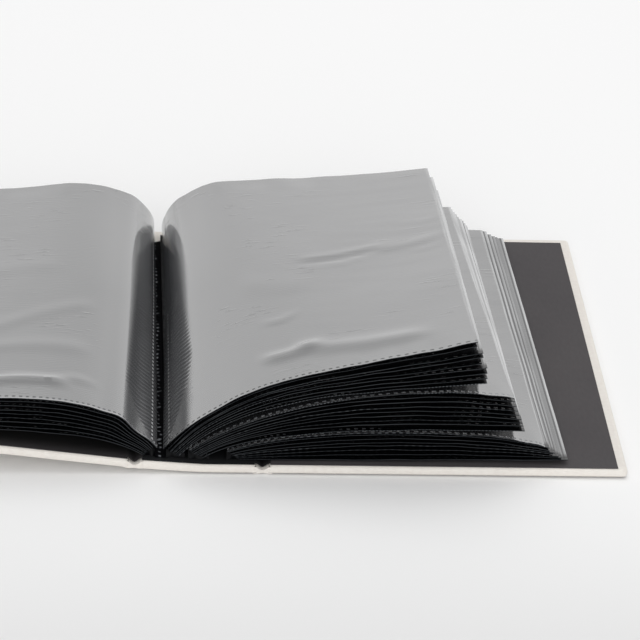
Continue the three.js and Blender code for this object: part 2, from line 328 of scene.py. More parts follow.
def film_relief(put, read, at, welds, ripple):
    """Height of the film in mm, with its ribs beside the root; returns the bump and the ribs."""
    warp = put("TexNoise", {"Vector": at, "Scale": 0.09, "Detail": 3.0})
    phase = put("Math", {0: warp, 1: 26.0}, operation="MULTIPLY")
    phase = put("Math", {
        0: read["from_tail"], 1: FULL_TURN / RIPPLE_PITCH, 2: phase}, operation="MULTIPLY_ADD")
    wave = put("Math", {0: phase}, operation="SINE")
    patch = put("MapRange", {
        "Value": warp, "From Min": 0.35, "From Max": 0.65, "To Min": 0.3, "To Max": 1.0})
    wave = put("Math", {0: wave, 1: patch}, operation="MULTIPLY")
    height = put("Math", {0: wave, 1: ripple * 0.5}, operation="MULTIPLY")
    # beside the root every weld draws the film into a small rib
    rib = put("Math", {0: warp, 1: 5.0}, operation="MULTIPLY")
    rib = put("Math", {
        0: read["from_tail"], 1: FULL_TURN / WELD_PITCH, 2: rib}, operation="MULTIPLY_ADD")
    rib = put("Math", {0: rib}, operation="SINE")
    rib = put("Math", {0: rib, 1: read["hinge"]}, operation="MULTIPLY")
    emboss = put("TexNoise", {"Vector": at, "Scale": 1.6, "Detail": 3.0})
    # hair-fine creases across the top pages, in patches
    stretch = put("Mapping", {0: at, 3: (0.09, 0.8, 1.0)})
    hair = put("TexNoise", {"Vector": stretch, "Scale": 1.0, "Detail": 2.0})
    hair = put("MapRange", {"Value": hair, "From Min": 0.6, "From Max": 0.75, "To Max": 0.1})
    where = put("TexNoise", {"Vector": at, "Scale": 0.03, "Detail": 1.0})
    where = put("MapRange", {"Value": where, "From Min": 0.5, "From Max": 0.62})
    where = put("Math", {0: where, 1: read["rim"]}, operation="MULTIPLY")
    for form, share in ((rib, ripple * 4), (emboss, 0.02), (welds, -0.09), (hair, where)):
        height = put("Math", {0: form, 1: share, 2: height}, operation="MULTIPLY_ADD")
    return put("Bump", {"Height": height, "Strength": 1.0, "Distance": MM}), rib


def film_tone(put, read, at, welds, rib, cloud, colours):
    """Base colour of a pocket: black paper seen through two films, and what is paler or darker."""
    tone = put("Mix", {
        0: cloud, 6: linear(colours.film_dark), 7: linear(colours.film_haze)}, data_type="RGBA")
    # the ribs' crests are paler
    crest = put("MapRange", {"Value": rib, "From Min": 0.1, "From Max": 0.9, "To Max": 0.45})
    # beyond the paper the two films alone make a pale flange at the fore-edge
    flange = put(
        "MapRange", {"Value": read["from_fore"], "From Min": 0.7, "From Max": 0.35}, **SOFT)
    fade = put("MapRange", {"Value": read["from_tail"], "From Min": 3.0, "From Max": 9.0})
    flange = put("Math", {0: flange, 1: fade}, operation="MULTIPLY")
    hem = put("MapRange", {
        "Value": read["from_tail"], "From Min": 1.0, "From Max": 0.4, "To Max": 0.35}, **SOFT)
    hem = put("Math", {0: hem, 1: read["rim"]}, operation="MULTIPLY")
    flange = put("Math", {0: flange, 1: hem}, operation="MAXIMUM")
    stretch = put("Mapping", {0: at, 3: (0.9, 0.03, 1.0)})
    streak = put("TexNoise", {"Vector": stretch, "Scale": 1.0, "Detail": 2.0})
    streak = put("Math", {0: streak, 1: read["pale"]}, operation="MULTIPLY")
    streak = put("MapRange", {"Value": streak, "From Min": 0.12, "From Max": 0.42})
    bare = put("Mix", {
        0: streak, 6: linear(colours.film_haze), 7: linear(colours.flange)}, data_type="RGBA")
    # the weld dots: black paper with a painted glint as strong as the leaf's share, palest where
    # they show beside the root of a top page
    spot = put("Mix", {
        0: read["bead"], 6: linear(colours.black_paper),
        7: linear(colours.weld)}, data_type="RGBA")
    seam = put("Math", {0: read["hinge"], 1: read["pale"]}, operation="MULTIPLY")
    seam = put("Math", {0: seam, 1: read["rim"]}, operation="MULTIPLY")
    spot = put("Mix", {0: seam, 6: spot, 7: linear(colours.flange)}, data_type="RGBA")
    # between two leaves of the stack hardly any light gets in, except on their welds
    gap = put("MapRange", {"Value": read["from_tail"], "From Min": 4.5, "From Max": 2.0})
    for kept in (read["rim"], welds):
        gap = put("Math", {0: gap, 1: kept}, operation="SUBTRACT", use_clamp=True)
    for share, colour in (
            (crest, linear(RIB_CREST)), (flange, bare), (welds, spot), (gap, linear(STACK_GAP))):
        tone = put("Mix", {0: share, 6: tone, 7: colour}, data_type="RGBA")
    return tone


def film_coat(put, read, welds, rib):
    """How strongly the film mirrors the room."""
    # next to the root the leaf is bare hinge paper without the outer film
    coat = put("MapRange", {"Value": read["hinge"], "To Min": 1.0, "To Max": 0.13})
    # the ribs catch the light in turn, and the welds are melted
    shares = [
        put("MapRange", {"Value": rib, "From Min": -1.0, "To Min": 0.4, "To Max": 1.6}),
        put("MapRange", {"Value": welds, "To Min": 1.0, "To Max": 0.25})]
    # leaves in the stack: each its own haze, two lines inside the fore-edge and a dark tail
    lines = []
    for inset in (0.85, 2.3):
        off = put("Math", {0: read["from_fore"], 1: inset}, operation="SUBTRACT")
        lines.append(put("Math", {0: off}, operation="ABSOLUTE"))
    for value, low, high, least in (
            (read["pale"], 0.0, 1.0, 0.62), (lines[0], 0.12, 0.3, 0.3),
            (lines[1], 0.1, 0.28, 0.5), (read["from_tail"], 1.5, 4.0, 0.12)):
        dim = put("MapRange", {"Value": value, "From Min": low, "From Max": high, "To Min": least})
        shares.append(put("Math", {0: dim, 1: read["rim"]}, operation="MAXIMUM"))
    for share in shares:
        coat = put("Math", {0: coat, 1: share}, operation="MULTIPLY")
    return coat


def pocket_film(colours, ripple):
    """Matt-embossed polypropylene pocket over black paper.

    The paper gives next to no light back, so the grey of a page is the film's own hazy
    reflection of a bright room; it goes dark where the facing page or a leaf above is mirrored.
    Two films with two faces each reflect, so the coat's IOR stands for all four of them.
    """
    made, put = new_material("pocket_film")
    read = {key: put("Attribute", attribute_name=key).outputs["Fac"] for key in (
        "from_fore", "from_tail", "from_root", "bead", "pale", "rim", "hinge")}
    read["hinge"] = put("MapRange", {"Value": read["hinge"], "From Min": 1.06, "From Max": 0.92})
    at = put("CombineXYZ", {0: read["from_fore"], 1: read["from_tail"]})
    welds = weld_dots(put, read, at)
    bump, rib = film_relief(put, read, at, welds, ripple)
    cloud = put("TexNoise", {"Vector": at, "Scale": 0.035, "Detail": 4.0})
    tone = film_tone(put, read, at, welds, rib, cloud, colours)
    rough = put("MapRange", {"Value": cloud, "To Min": 0.08, "To Max": 0.16})
    coat = film_coat(put, read, welds, rib)
    shader = put("BsdfPrincipled", {
        "Base Color": tone, "Roughness": rough, "Normal": bump, "IOR": 1.6, "Coat Weight": coat,
        "Coat Roughness": 0.09, "Coat IOR": 3.0, "Coat Normal": bump})
    put("OutputMaterial", {0: shader})
    return made


def cut_edge(name, light, dark, corner=None):
    """Cut edge of a leaf: black paper between two film edges, pinched at every weld dot."""
    made, put = new_material(name)
    at = put("TexCoord").outputs["Object"]
    split = put("SeparateXYZ", {0: at})
    run = put("Math", {0: split.outputs["X"], 1: split.outputs["Y"]}, operation="ADD")
    bead, pale = (put("Attribute", attribute_name=key).outputs["Fac"] for key in ("bead", "pale"))
    # the films are welded either coarsely or twice as finely, leaf by leaf
    half = put("MapRange", {
        "Value": pale, "From Min": 0.5, "From Max": 0.51, "To Min": WELD_PITCH * MM / 2,
        "To Max": WELD_PITCH * MM / 4})
    beat = put("Math", {0: run, 1: half}, operation="PINGPONG")
    beat = put("Math", {0: beat, 1: half}, operation="DIVIDE")
    dot = put("MapRange", {"Value": beat, "From Min": 0.6, "From Max": 0.36})
    apart = put("VectorMath", {0: at, 1: (1.0, 1.0, 9.0)}, operation="MULTIPLY")
    torn = put("TexNoise", {"Vector": apart, "Scale": 45.0, "Detail": 3.0})
    torn = put("MapRange", {"Value": torn, "From Min": 0.42, "From Max": 0.62})
    # the weld dots on the cut edge get a painted glint, as strong as the leaf's share
    both = put("Math", {0: dot, 1: torn}, operation="MULTIPLY")
    both = put("Math", {0: both, 1: bead}, operation="MULTIPLY")
    # the bare film edge draws a thin line that comes and goes
    thin = put("MapRange", {"Value": torn, "To Min": 0.36, "To Max": 0.06})
    both = put("Math", {0: pale, 1: thin, 2: both}, operation="MULTIPLY_ADD")
    colour = put("Mix", {0: both, 6: linear(dark), 7: linear(light)}, data_type="RGBA")
    if corner:
        tail = put("Attribute", attribute_name="from_tail").outputs["Fac"]
        near = put("MapRange", {"Value": tail, "From Min": 3.0, "From Max": 12.0})
        colour = put("Mix", {0: near, 6: linear(corner), 7: colour}, data_type="RGBA")
    bump = put("Bump", {"Height": both, "Strength": 0.6, "Distance": 0.0001})
    shader = put(
        "BsdfPrincipled", {"Base Color": colour, "Roughness": 0.75, "Normal": bump, "IOR": 1.2})
    put("OutputMaterial", {0: shader})
    return made


def crumpled_film(colours):
    """Black film tabs, sewn and pressed in the bundle: thin, creased and glossy in patches."""
    made, put = new_material("crumpled_roots")
    at = put("TexCoord").outputs["Object"]
    crease = put("TexVoronoi", {"Vector": at, "Scale": 420.0}, feature="DISTANCE_TO_EDGE")
    cloud = put("TexNoise", {"Vector": at, "Scale": 300.0, "Detail": 6.0})
    shade = put(
        "Mix", {0: cloud, 6: linear(DEEP_BLACK), 7: linear(colours.black_paper)}, data_type="RGBA")
    height = put("Math", {0: crease, 1: 0.6, 2: cloud}, operation="MULTIPLY_ADD")
    bump = put("Bump", {"Height": height, "Strength": 0.8, "Distance": 0.0006})
    rough = put("MapRange", {"Value": cloud, "To Min": 0.4, "To Max": 0.75})
    shader = put(
        "BsdfPrincipled", {"Base Color": shade, "Roughness": rough, "Normal": bump, "IOR": 1.28})
    put("OutputMaterial", {0: shader})
    return made


def weld_strip(colours, middle):
    """Black gutter strip with a wandering row of hot-weld dots along x = middle, in metres."""
    made, put = new_material("hot_welded_strip")
    at = put("TexCoord").outputs["Object"]
    split = put("SeparateXYZ", {0: at})
    wobble = put("TexNoise", {"Vector": at, "Scale": 260.0, "Detail": 2.0})
    # the noise is a half on average
    sway = put("Math", {0: wobble, 1: 0.0036, 2: split.outputs["X"]}, operation="MULTIPLY_ADD")
    off = put("Math", {0: sway, 1: middle + 0.0018}, operation="SUBTRACT")
    off = put("Math", {0: off}, operation="ABSOLUTE")
    row = put("MapRange", {"Value": off, "From Min": 0.0006, "From Max": 0.0002})
    run = put("Math", {0: wobble, 1: 0.0034, 2: split.outputs["Y"]}, operation="MULTIPLY_ADD")
    beat = put("Math", {0: run, 1: STRIP_PITCH * MM / 2}, operation="PINGPONG")
    dot = put("MapRange", {"Value": beat, "From Min": 0.0006, "From Max": 0.0002})
    patch = put("TexNoise", {"Vector": at, "Scale": 90.0, "Detail": 1.0})
    patch = put("MapRange", {"Value": patch, "From Min": 0.4, "From Max": 0.6, "To Min": 0.4})
    both = put("Math", {0: dot, 1: row}, operation="MULTIPLY")
    both = put("Math", {0: both, 1: patch}, operation="MULTIPLY")
    # the weld dots get the pale colour of a painted glint
    shade = put("Mix", {0: both, 6: linear(DEEP_BLACK), 7: linear(colours.weld)}, data_type="RGBA")
    bump = put("Bump", {"Height": both, "Strength": 0.7, "Distance": 0.0003})
    shader = put(
        "BsdfPrincipled", {"Base Color": shade, "Roughness": 0.8, "Normal": bump, "IOR": 1.12})
    put("OutputMaterial", {0: shader})
    return made


def studio_floor(colours):
    """Seamless studio paper with painted light: a little brighter towards the back, where the
    lamps stand.
    """
    made, put = new_material("seamless_studio_paper")
    at = put("TexCoord").outputs["Object"]
    y = put("SeparateXYZ", {0: at}).outputs["Y"]
    # painted light: the floor's colour brightens towards the back
    back = put("MapRange", {"Value": y, "From Min": -0.24, "From Max": -0.06}, **SOFT)
    fine = put("TexNoise", {"Vector": at, "Scale": 900.0, "Detail": 2.0})
    colour = put("Mix", {
        0: back, 6: linear(colours.floor_front), 7: linear(colours.floor_back)}, data_type="RGBA")
    bump = put("Bump", {"Height": fine, "Strength": 0.1, "Distance": 0.0001})
    shader = put(
        "BsdfPrincipled", {"Base Color": colour, "Roughness": 0.75, "Normal": bump, "IOR": 1.3})
    # well behind the album the paper runs out into plain white
    far = put("MapRange", {"Value": y, "From Min": 0.05, "From Max": 0.6}, **SOFT)
    seen = put("LightPath").outputs["Is Camera Ray"]
    seen = put("Math", {0: seen, 1: far}, operation="MULTIPLY")
    white = put("Emission", {0: linear(colours.floor_back), 1: 1.0})
    both = put("MixShader", {0: seen, 1: shader, 2: white})
    put("OutputMaterial", {0: both})
    return made


# ---- leaves

def leaf_handles(section, end, share):
    """The four Bezier points, in mm, of one leaf's curve at the album's tail or head."""
    top, low = section[end]
    value = {key: mix(top[key], low[key], share) for key in top}
    side = section["side"]
    root_x = -mix(section["roots"][0], section["roots"][1], share)
    root_z = seat(-section["roots"][0 if side > 0 else 1])
    root_z += mix(ROOT_H - ROOT_EDGE, ROOT_EDGE, share)
    span = COVER_W - value["inset"]
    fore_x = span if side > 0 else -SPINE_W - span
    inside = COVER_T if side > 0 else COVER_T + SPINE_RISE + span * math.tan(FRONT_TILT)
    fore_z = inside + value["lift"]
    run = abs(fore_x - root_x)
    rise, tip = math.radians(value["rise"]), math.radians(value["tip"])
    reach, lean = value["reach"] * run, value["lean"] * run
    return (
        Vector((root_x, root_z)),
        Vector((root_x + side * reach * math.cos(rise), root_z + reach * math.sin(rise))),
        Vector((fore_x - side * lean * math.cos(tip), fore_z - lean * math.sin(tip))),
        Vector((fore_x, fore_z)))


def bezier(handles, t):
    """The point at share t of a curve, and the way it runs there."""
    a, b, c, d = handles
    s = 1 - t
    at = a * s ** 3 + b * 3 * s * s * t + c * 3 * s * t * t + d * t ** 3
    slope = (b - a) * 3 * s * s + (c - b) * 6 * s * t + (d - c) * 3 * t * t
    return at, slope.normalized()


# Leaves whose weld dots get a painted glint, and how strong; the rest hardly show theirs.
WELD_GLINTS = {
    ("left", 0): 0.25, ("right_1", 0): 0.0, ("right_1", 5): 0.4, ("right_1", 8): 0.75,
    ("right_2", 0): 1.0, ("right_2", 3): 0.45, ("right_2", 8): 0.5, ("right_3", 0): 0.8,
    ("right_3", 4): 0.45,
}

# How pale the two top pages' welds and flanges are; every other leaf draws its own.
SHINE = {("left", 0): 1.0, ("right_1", 0): 0.35}

# Creases of the two top pages: from (mm from the fore-edge, mm from the tail edge) to the same,
# half width and height in mm.
CREASES = {
    "right_1": ((66, 20.5, 44, 24, 2.6, 1.0), (52, 23, 12, 18, 4.0, 0.8),
                (62, 46, 48, 48, 1.4, 0.35), (41, 86, 16, 92, 1.3, -0.4),
                (40, 89, 12, 96, 2.2, 0.35), (40, 82, 20, 86, 1.0, 0.18),
                (20, 91, 1, 98, 2.5, 0.35), (12, 86, 1, 91, 1.0, 0.2),
                (9, 112, 1, 114, 1.2, 0.2), (34, 10, 27, 3, 1.2, 0.14),
                (48, 12, 42, 5, 1.0, 0.1), (64, 78, 40, 70, 7.0, 0.2)),
    "left": ((36, 13, 68, 15, 2.0, 1.1), (60, 15, 80, 18, 1.6, 0.4),
             (30, 36, 76, 39, 4.0, 0.28), (38, 50, 76, 70, 3.5, 0.22),
             (30, 90, 60, 98, 5.0, 0.15)),
}


def crease_lift(name, fore, tail):
    """Height that the creases of a top page add at a point of it, in mm."""
    total = 0.0
    for x0, y0, x1, y1, width, height in CREASES.get(name, ()):
        along = Vector((x1 - x0, y1 - y0))
        length = along.length
        along /= length
        offset = Vector((fore - x0, tail - y0))
        run = offset.dot(along)
        bent = 2.0 * math.sin(run / length * math.pi)
        away = offset.x * along.y - offset.y * along.x + bent
        fade = smooth(run, -3, 6) * (1 - smooth(run, length - 6, length + 5))
        total += height * fade * math.exp(-(away / width) ** 2)
    return total


class Leaf:
    """Shape of one leaf: the section's curve with this leaf's own ragged ends and waves."""

    def __init__(self, section, index):
        self.section = section
        self.index = index
        self.share = index / (section["leaves"] - 1)
        self.tail, self.head = (leaf_handles(section, end, self.share) for end in ("tail", "head"))
        key = Vector((index * 3.7, section["roots"][0], 1.3))
        own = noise.noise_vector(key)
        top = index == 0
        self.tail_y = LEAF_MARGIN + (0.0 if top else 1.1 * own.x)
        self.head_y = COVER_H - LEAF_MARGIN + (0.0 if top else 0.8 * own.y)
        self.longer = 0.0 if top else 1.6 * own.z
        self.height = self.head_y - self.tail_y
        self.length = self._measure()
        self.bead = WELD_GLINTS.get((section["name"], index), 0.1 + 0.14 * own.y)
        self.pale = 0.5 + 0.5 * noise.noise(key * 1.9)

    def _measure(self):
        """Length from root to fore-edge half way up the leaf, in mm."""
        points = [(bezier(self.tail, i / 40)[0] + bezier(self.head, i / 40)[0]) / 2
                  for i in range(41)]
        return sum((b - a).length for a, b in zip(points, points[1:]))

    def at(self, t, v, off):
        """A point at share t from the root and v from the tail, off mm over the leaf's middle."""
        tail, slope_a = bezier(self.tail, t)
        head, slope_b = bezier(self.head, t)
        side = self.section["side"]
        centre = tail.lerp(head, v)
        slope = slope_a.lerp(slope_b, v).normalized()
        fore = (1 - t) * self.length
        root = self.length - fore
        y = mix(self.tail_y, self.head_y, v)
        if self.longer:
            centre = centre + slope * (self.longer * smooth(t, 0.6, 1.0))
        # waves run through neighbouring leaves together and grow away from the root
        loose = smooth(t, 0.25, 0.9)
        stack = self.index * 0.16
        wave = 0.35 * loose * noise.noise(Vector((fore / 34, y / 40, stack)))
        fine = 0.07 if self.index == 0 else 0.22
        wave += fine * loose * noise.noise(Vector((fore / 9, y / 21, stack * 2)))
        ends = max(smooth(v, 0.08, 0.0), smooth(v, 0.92, 1.0))
        flutter = 0.3 * ends * smooth(t, 0.12, 0.5)
        wave += flutter * noise.noise(Vector((fore / 7, self.index * 1.7, y / 60)))
        if "shoulder" in self.section:
            reach, at_tail, at_head = self.section["shoulder"]
            turn = math.pi * min(root / reach, 1.0)
            swing = mix(at_tail, at_head, v) * (1 - self.share)
            wave -= swing * math.sin(2 * turn) * math.sin(turn) ** 2
            # towards the head the leaves roll down more roundly into the gutter
            reach, drop = self.section["rounded"]
            turn = math.pi * min(root / reach, 1.0)
            wave -= drop * smooth(v, 0.5, 1.0) * (1 - self.share) * math.sin(turn) ** 2
        if self.index == 0:
            wave += 0.05 * loose * noise.noise(Vector((fore / 14, y / 4, 9.1)))
            wave += crease_lift(self.section["name"], fore, y)
        lift = wave + off
        x = centre.x - slope.y * lift * side
        if self.index == 0 and "pull" in self.section:
            # the top page's root leans in over the strip
            x += mix(*self.section["pull"], min(1.6 * v, 1.0)) * math.exp(-(root / 11) ** 2)
        z = centre.y + slope.x * lift * side
        return place(x, y, z)


def build_leaf(section, index, name, span, grid, looks, replaced=()):
    """A leaf, or the part of it between two shares of its curve, as one closed sheet."""
    leaf = Leaf(section, index)
    bm = slab(*grid)
    for face in bm.faces:
        centre = face.calc_center_median()
        if abs(abs(centre.y) - 0.5) < 1e-4:
            face.material_index = 1
        elif abs(abs(centre.x) - 0.5) < 1e-4:
            face.material_index = 2
    values = {"from_fore": [], "from_tail": [], "from_root": [], "hinge": []}
    least, more, most, taper = section["hinge"]
    for vert in bm.verts:
        t = mix(span[0], span[1], vert.co.x + 0.5)
        v = vert.co.y + 0.5
        root, tail, head = t * leaf.length, v * leaf.height, (1 - v) * leaf.height
        values["from_fore"].append((1 - t) * leaf.length)
        values["from_root"].append(root)
        values["from_tail"].append(tail)
        wide = min(least + more * tail, most) * min((tail + 0.4) / taper, 1.0) ** 0.7
        values["hinge"].append(min(math.hypot(root / wide, max(0.0, 22 - head) / 10), 3.0))
        vert.co = leaf.at(t, v, vert.co.z * LEAF_T)
    count = len(values["hinge"])
    values["bead"] = [leaf.bead] * count
    values["pale"] = [SHINE.get((section["name"], index), leaf.pale)] * count
    values["rim"] = [float(index == 0)] * count
    obj = finish_mesh(bm, name, looks)
    for key, numbers in values.items():
        attribute(obj.data, key, numbers)
    if replaced:
        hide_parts(*replaced)
    return obj


# ---- settings

class AlbumSizes(bpy.types.PropertyGroup):
    """Fineness and rounding of the shapes"""
    page_steps: bpy.props.IntProperty(
        name="Page steps", description="Cuts across a top page", default=96, min=8)
    leaf_steps: bpy.props.IntProperty(
        name="Leaf steps", description="Cuts across a leaf inside the stack", default=40, min=8)
    cloth_round: bpy.props.FloatProperty(
        name="Cloth rounding", description="Radius of a cloth-covered edge", default=0.0012,
        unit="LENGTH")
    ripple: bpy.props.FloatProperty(
        name="Film ripple", description="Height of the ripples in the film, in mm", default=0.012)


class AlbumColours(bpy.types.PropertyGroup):
    """Colours as sRGB hex codes"""
    cloth: bpy.props.StringProperty(
        name="Cloth", description="Book cloth", default="ECE8E1")
    cloth_dark: bpy.props.StringProperty(
        name="Cloth shade", description="Between the threads", default="E5DFD8")
    endpaper: bpy.props.StringProperty(
        name="Endpaper", description="Charcoal endpaper", default="4F4C4D")
    film_dark: bpy.props.StringProperty(
        name="Film shade", description="Paper seen through clear film", default="2E2F31")
    film_haze: bpy.props.StringProperty(
        name="Film haze", description="Paper seen through hazy film", default="3A3B3D")
    black_paper: bpy.props.StringProperty(
        name="Black paper", description="Leaf core and strip", default="0C0D0F")
    # pale colour of the painted glints on the weld dots
    weld: bpy.props.StringProperty(
        name="Weld", description="Hot-weld dots", default="7C7F83")
    flange: bpy.props.StringProperty(
        name="Flange", description="Film without paper behind it", default="C4C5C6")
    edge_light: bpy.props.StringProperty(
        name="Film edge", description="Cut film at the fore-edge", default="D8D8D8")
    floor_front: bpy.props.StringProperty(
        name="Floor in front", description="Studio paper", default="E1E1E1")
    floor_back: bpy.props.StringProperty(
        name="Floor behind", description="Studio paper", default="FAFAFA")


MATERIALS = {}


def materials():
    """The finishes, made once and shared by the operators."""
    if not MATERIALS:
        colours = bpy.context.scene.album_colours
        sizes = bpy.context.scene.album_sizes
        charcoal = (colours.endpaper, "444143", 900.0)
        MATERIALS.update(
            cloth=book_cloth(colours),
            board=paper("grey_board", "98958F", "7F7C76"),
            endpaper=paper("charcoal_endpaper", *charcoal),
            under_leaves=paper("front_endpaper", *charcoal, leaf_shade_span=(0.0814, 0.0755)),
            lining=paper("black_lining", "1C1D1F", colours.black_paper, 900.0, 0.7),
            film=pocket_film(colours, sizes.ripple),
            tail_edge=cut_edge("cut_tail_edge", "5A5D60", "111316"),
            fore_edge=cut_edge(
                "cut_fore_edge", colours.edge_light, "C2C3C4", colours.black_paper),
            roots=crumpled_film(colours),
            strip=weld_strip(colours, place(-34.9, 0, 0).x),
            floor=studio_floor(colours),
        )
    return MATERIALS


# ---- operators

def groove(z):
    """Half the width of a joint's groove at height z in the cover."""
    return 0.9 + 1.5 * z / COVER_T


def cover_bend(side):
    """The map that bevels a cover's cloth at its joint and lays it in place."""
    def bend(x, y, z):
        x += groove(z) * (1 - smooth(x, 0, 8))
        if side > 0:
            return place(x, y, z)
        z -= JOINT_Z
        c, d = math.cos(FRONT_TILT), math.sin(FRONT_TILT)
        return place(-SPINE_W - x * c + z * d, y, JOINT_Z + SPINE_RISE + x * d + z * c)
    return bend


def spine_bend(x, y, z):
    """The map that bevels the spine's cloth at both joints and bows it."""
    at = -SPINE_W + groove(z) + x / SPINE_W * (SPINE_W - 2 * groove(z))
    return place(at, y, z + bow(at))


def joint_floor(rise, x):
    """Height of a joint at x from its line; the front one climbs with its cover."""
    return rise + max(0.0, -x) * math.tan(FRONT_TILT) if rise else 0.0


def cloth_shell(name, length, radius, bend):
    """A cloth-covered board, rounded at every edge and bevelled at its joints by a map."""
    steps = 24
    bm = bmesh.new()
    bmesh.ops.create_cube(bm, size=1.0)
    bmesh.ops.scale(bm, vec=(length, COVER_H, COVER_T), verts=bm.verts)
    upright = [e for e in bm.edges if extent(e, 2) > 1]
    bmesh.ops.bevel(
        bm, geom=upright, offset=CORNER_R, segments=6, affect="EDGES", profile=0.5, material=-1)
    rim = [e for e in bm.edges if extent(e, 2) < 1e-5 and e.calc_face_angle(0.0) > 1.2]
    bmesh.ops.bevel(
        bm, geom=rim, offset=radius, segments=5, affect="EDGES", profile=0.5, material=-1)
    for axis, size in ((0, length), (1, COVER_H)):
        for i in range(1, steps):
            spot, way = [0.0] * 3, [0.0] * 3
            spot[axis], way[axis] = size * (i / steps - 0.5), 1.0
            bmesh.ops.bisect_plane(
                bm, geom=bm.verts[:] + bm.edges[:] + bm.faces[:], plane_co=spot, plane_no=way)
    from_rim = []
    for vert in bm.verts:
        x, y, z = vert.co
        from_rim.append(min(length / 2 - x, COVER_H / 2 - abs(y)))
        soft = 0.05 * noise.noise(Vector((x / 9, y / 9, z)))
        vert.co = bend(x + length / 2, y + COVER_H / 2 + soft, z + COVER_T / 2 + soft)
    shell = finish_mesh(bm, name, [materials()["cloth"]])
    attribute(shell.data, "from_rim", from_rim)
    return shell


class ALBUM_OT_covers(bpy.types.Operator):
    """Wrap the covers and spine in cloth, line them and bridge the joints"""
    bl_idname = "album.covers"
    bl_label = "Covers and spine"

    def execute(self, context):
        made = materials()
        radius = context.scene.album_sizes.cloth_round / MM
        for node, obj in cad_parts.items():
            look = "under_leaves" if node == "front_cover_endpaper" else node.rsplit("_", 1)[-1]
            if look in ("board", "endpaper", "under_leaves"):
                obj.data.materials.clear()
                obj.data.materials.append(made[look])
        for name, length, bend in (
                ("back_cover", COVER_W, cover_bend(1)), ("front_cover", COVER_W, cover_bend(-1)),
                ("spine", SPINE_W, spine_bend)):
            shell = cloth_shell(name + "_wrap", length, radius, bend)
            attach(shell, name)
            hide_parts(name + "_cloth")

        for name, at, rise, look, a, b in (
                ("back_joint", 0.0, 0.0, "lining", "back_cover", "spine"),
                ("front_joint", -SPINE_W, SPINE_RISE, "under_leaves", "spine", "front_cover")):
            # the cloth dips into the groove from above and below
            bm = slab(20, 90)
            for vert in bm.verts:
                u, v, w = vert.co
                x = u * FOLD_W
                low = 0.03 + 0.35 * (1 - smooth(abs(x), 0.0, 1.6))
                top = 1.5 + 1.15 * smooth(abs(x), 0.3, 2.5)
                y = COVER_H / 2 + v * (COVER_H - 0.8)
                soft = 0.12 * noise.noise(Vector((u * 3, y / 7, at)))
                z = joint_floor(rise, x) + mix(low, top, w + 0.5)
                vert.co = place(at + x, y + soft, z)
            joint = finish_mesh(bm, name + "_fold", [made["cloth"]], 60)
            attribute(joint.data, "from_rim", [9.0] * len(joint.data.vertices))
            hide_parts(name + "_cloth")
            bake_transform(joint)
            # the lining over it, with a valley along the joint's line
            bm = slab(18, 90)
            for vert in bm.verts:
                u, v, w = vert.co
                x = u * FOLD_LINING_W
                y = COVER_H / 2 - 0.8 + v * (COVER_H - 2 * LINING_MARGIN)
                valley = 1.44 * (1 - smooth(abs(2 * u), 0.0, 0.85))
                z = joint_floor(rise, x) + COVER_T + 0.28 + 0.26 * w - valley
                vert.co = place(at + x, y, z)
            bridge = finish_mesh(bm, name + "_lining", [made[look]], 60)
            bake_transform(bridge)

        bm = slab(24, 60)
        for vert in bm.verts:
            u, v, w = vert.co
            x = u * (SPINE_W - 2 * LINING_MARGIN) - SPINE_W / 2
            y = mix(0.9, LINING_END, v + 0.5)
            vert.co = place(x, y, COVER_T + 0.2 + 0.2 * w + bow(x))
        lining = finish_mesh(bm, "spine_lining_paper", [made["lining"]])
        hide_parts("spine_lining")
        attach(lining, "spine")
        return {"FINISHED"}


class ALBUM_OT_leaves(bpy.types.Operator):
    """Build every leaf as one sheet from its root to its fore-edge"""
    bl_idname = "album.leaves"
    bl_label = "Leaves"

    def execute(self, context):
        noise.seed_set(SEED)
        made = materials()
        sizes = context.scene.album_sizes
        looks = [made["film"], made["tail_edge"], made["fore_edge"]]
        for section in SECTIONS:
            name, last = section["name"], section["leaves"] - 1
            bends = list(zip(section["bend"], section.get("low_bend", section["bend"])))
            for index in range(last + 1):
                if (name, index) == ("right_1", 0):
                    continue
                share = index / last
                start, end = (
                    place(mix(top[0], low[0], share), COVER_H / 2, mix(top[1], low[1], share))
                    for top, low in bends)
                steps = sizes.page_steps if index == 0 else sizes.leaf_steps
                leaf = build_leaf(
                    section, index, f"{name}_page_{index + 1}", (0.0, 1.0),
                    (steps, steps * 4 // 5), looks, (f"{name}_leaf_{index + 1}",))
                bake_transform(leaf)
                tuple(start)
                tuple(end)
        # the page that turns by itself is built in two pieces: its root, and the rest from where
        # it lifts off
        section = SECTIONS[1]
        across, along = sizes.page_steps, sizes.page_steps * 4 // 5
        start, end = (place(x, COVER_H / 2, z) for x, z in section["bend"])
        low = build_leaf(section, 0, "turning_page_root", (0.0, 0.3), (24, along), looks)
        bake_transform(low)
        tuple(start)
        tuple(end)
        high = build_leaf(
            section, 0, "turning_page", (0.3, 1.0), (across, along), looks, ("right_1_leaf_1",))
        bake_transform(high)
        return {"FINISHED"}


